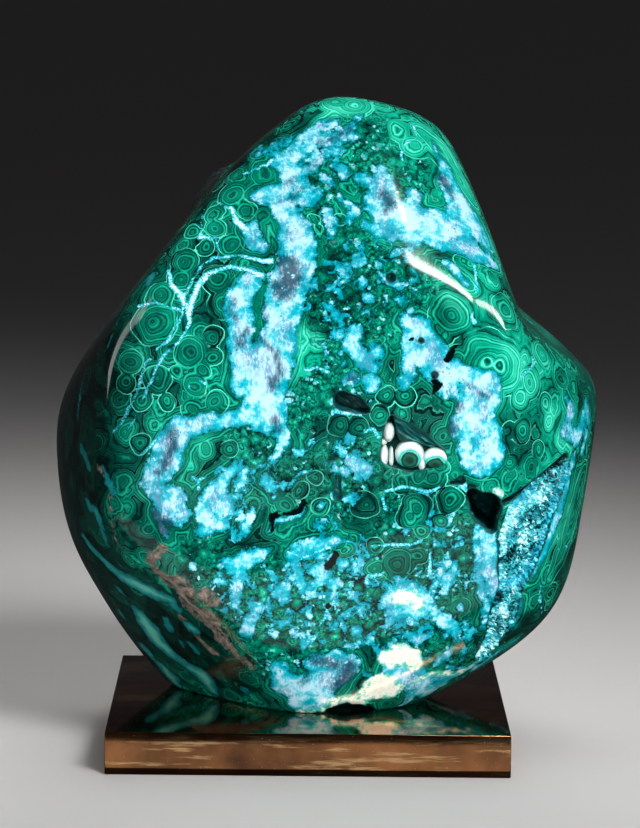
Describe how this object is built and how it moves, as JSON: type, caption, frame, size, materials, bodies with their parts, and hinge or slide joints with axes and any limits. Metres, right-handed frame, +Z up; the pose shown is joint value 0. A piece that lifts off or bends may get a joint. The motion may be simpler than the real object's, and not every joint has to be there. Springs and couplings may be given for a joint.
{
  "type": "mineral specimen",
  "caption": "Polished chrysocolla and malachite boulder with a crystal-lined trough and white knobs in a vug, standing on a square bronze plinth",
  "frame": {"origin": "centre of the plinth's underside", "axes": "+Z up; +X to the viewer's right; the stone's polished face with its hollows looks along -Y; the plinth's sides are parallel to X and Y"},
  "size_m": [0.2468, 0.178, 0.2925],
  "materials": {
    "stone": "high polish, malachite green banded and orbicular, with turquoise, powder-blue and white chrysocolla veins",
    "druse": "unpolished sugary crystals, pale turquoise to white with dark pits",
    "knobs": "satin white knobs with mint and dark green rings",
    "bronze": "mirror-polished dark brown bronze"
  },
  "bodies": {
    "root": {"stone": "stone", "druse_crust": "druse", "knob_crust": "knobs", "plinth": "bronze"}
  },
  "joints": []
}
